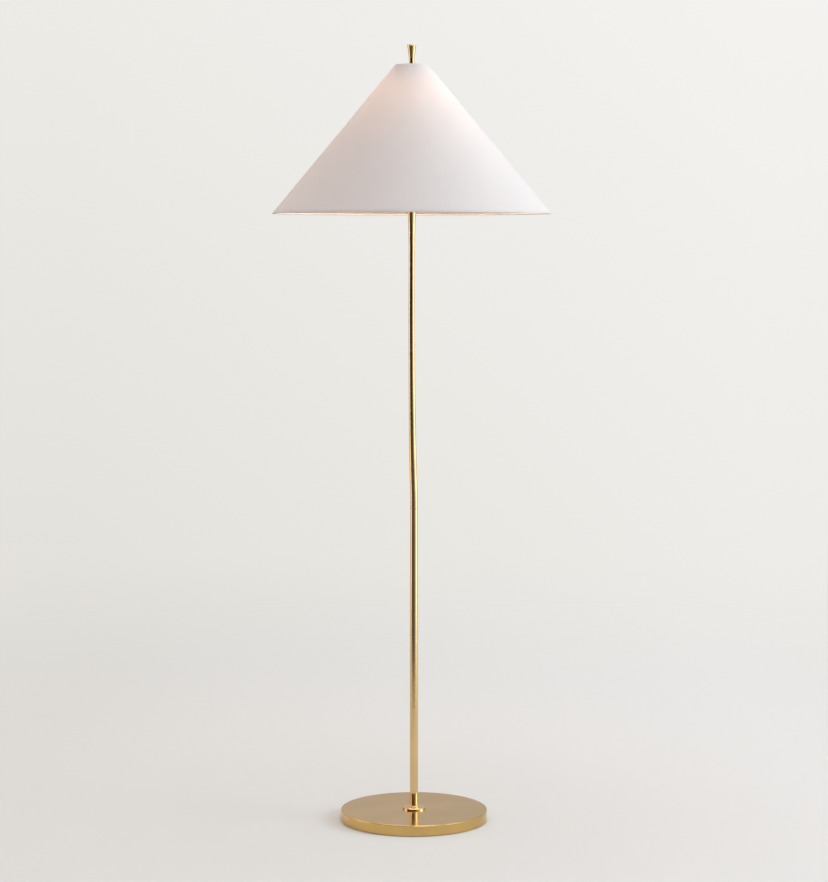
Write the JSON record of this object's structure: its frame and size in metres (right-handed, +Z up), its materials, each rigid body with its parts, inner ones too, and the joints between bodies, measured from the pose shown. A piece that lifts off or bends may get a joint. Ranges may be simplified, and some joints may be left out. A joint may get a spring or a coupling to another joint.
{
  "type": "floor lamp",
  "caption": "Floor lamp: a slim brass stem with a slight bend on a round weighted base, with a wide white cone shade hung on a harp and held by a tapered finial.",
  "frame": {"origin": "centre of the base on the floor", "axes": "+Z up along the stem, +X to the right as seen from the front, -Y towards the viewer; the cord inlet is at the rear, +Y"},
  "size_m": [0.5244, 0.5244, 1.4686],
  "materials": {
    "polished_brass": "polished",
    "satin_brass": "satin",
    "machined_brass": "turned",
    "socket_brass": "bright",
    "cast_iron": "painted casting",
    "zinc_steel": "zinc plated",
    "plated_steel": "brass plated",
    "white_wire": "painted",
    "felt": "felt",
    "black_nylon": "moulded",
    "clear_nylon": "moulded",
    "live_insulation": "extruded",
    "neutral_insulation": "extruded",
    "liner_card": "fibre board",
    "phenolic": "moulded",
    "frosted_glass": "frosted",
    "clear_glass": "clear",
    "black_glass": "vitrified",
    "bulb_aluminium": "bright",
    "solder": "tinned",
    "filament": "phosphor coat",
    "linen": "fine weave",
    "styrene": "sheet"
  },
  "bodies": {
    "stand": {"base_cover": "satin_brass", "base_weight": "cast_iron", "felt_pad": "felt", "base_washer": "zinc_steel", "lock_washer": "zinc_steel", "base_nut": "zinc_steel", "base_nipple": "zinc_steel", "base_flange": "polished_brass", "cord_bushing": "black_nylon", "splice_connectors": "clear_nylon", "lower_stem": "polished_brass", "lower_foot_insert": "machined_brass", "lower_head_insert": "machined_brass", "joint_ring": "polished_brass", "stem_coupling": "zinc_steel", "upper_stem": "polished_brass", "upper_foot_insert": "machined_brass", "neck_cap": "machined_brass", "top_nipple": "zinc_steel", "live_lead": "live_insulation", "neutral_lead": "neutral_insulation", "harp_saddle": "plated_steel", "saddle_nut": "zinc_steel", "socket_cap": "socket_brass", "cap_set_screw": "zinc_steel", "socket_shell": "socket_brass", "socket_liner": "liner_card", "socket_body": "phenolic", "terminal_screws": "machined_brass", "screw_shell": "socket_brass", "centre_contact": "machined_brass"},
    "switch": {"switch_shaft": "machined_brass", "switch_key": "phenolic"},
    "bulb_tip": {"bulb_contact": "solder"},
    "bulb": {"bulb_glass": "frosted_glass", "bulb_cap": "bulb_aluminium", "bulb_insulator": "black_glass", "bulb_mount": "clear_glass", "bulb_filaments": "filament"},
    "harp": {"harp": "plated_steel"},
    "left_ferrule": {"left_ferrule": "socket_brass"},
    "right_ferrule": {"right_ferrule": "socket_brass"},
    "harp_stud": {"harp_stud": "machined_brass"},
    "shade": {"shade_linen": "linen", "shade_styrene": "styrene", "bottom_ring": "white_wire", "top_ring": "white_wire", "spider_hub": "plated_steel", "spider_arms": "plated_steel"},
    "finial_washer": {"finial_washer": "polished_brass"},
    "finial": {"finial": "polished_brass"}
  },
  "joints": [
    {"name": "switch_turn", "type": "hinge", "parent": "stand", "child": "switch", "pos_m": [-0.0042, -0.025, 1.283], "axis": [0, -1, 0], "continuous": true},
    {"name": "bulb_rise", "type": "slide", "parent": "stand", "child": "bulb_tip", "axis": [0, 0, 1], "range_m": [0, 0.01997]},
    {"name": "bulb_turn", "type": "hinge", "parent": "bulb_tip", "child": "bulb", "pos_m": [-0.0042, 0, 1.3], "axis": [0, 0, 1], "range_deg": [0, 1980]},
    {"name": "harp_lift", "type": "slide", "parent": "stand", "child": "harp", "axis": [0, 0, 1], "range_m": [0, 0.012]},
    {"name": "left_ferrule_slide", "type": "slide", "parent": "harp", "child": "left_ferrule", "axis": [0, 0, 1], "range_m": [0, 0.008]},
    {"name": "right_ferrule_slide", "type": "slide", "parent": "harp", "child": "right_ferrule", "axis": [0, 0, 1], "range_m": [0, 0.008]},
    {"name": "shade_turn", "type": "hinge", "parent": "harp", "child": "harp_stud", "pos_m": [-0.0042, 0, 1.425], "axis": [0, 0, 1], "continuous": true},
    {"name": "shade_lift", "type": "slide", "parent": "harp_stud", "child": "shade", "axis": [0, 0, 1], "range_m": [0, 0.3]},
    {"name": "finial_rise", "type": "slide", "parent": "shade", "child": "finial_washer", "axis": [0, 0, 1], "range_m": [0, 0.00846]},
    {"name": "finial_turn", "type": "hinge", "parent": "finial_washer", "child": "finial", "pos_m": [-0.0042, 0, 1.45], "axis": [0, 0, 1], "range_deg": [0, 3240]}
  ],
  "couplings": [
    {"joint": "bulb_turn", "follows": "bulb_rise", "rad_per_m": 1730.9},
    {"joint": "finial_turn", "follows": "finial_rise", "rad_per_m": 6684.2}
  ]
}
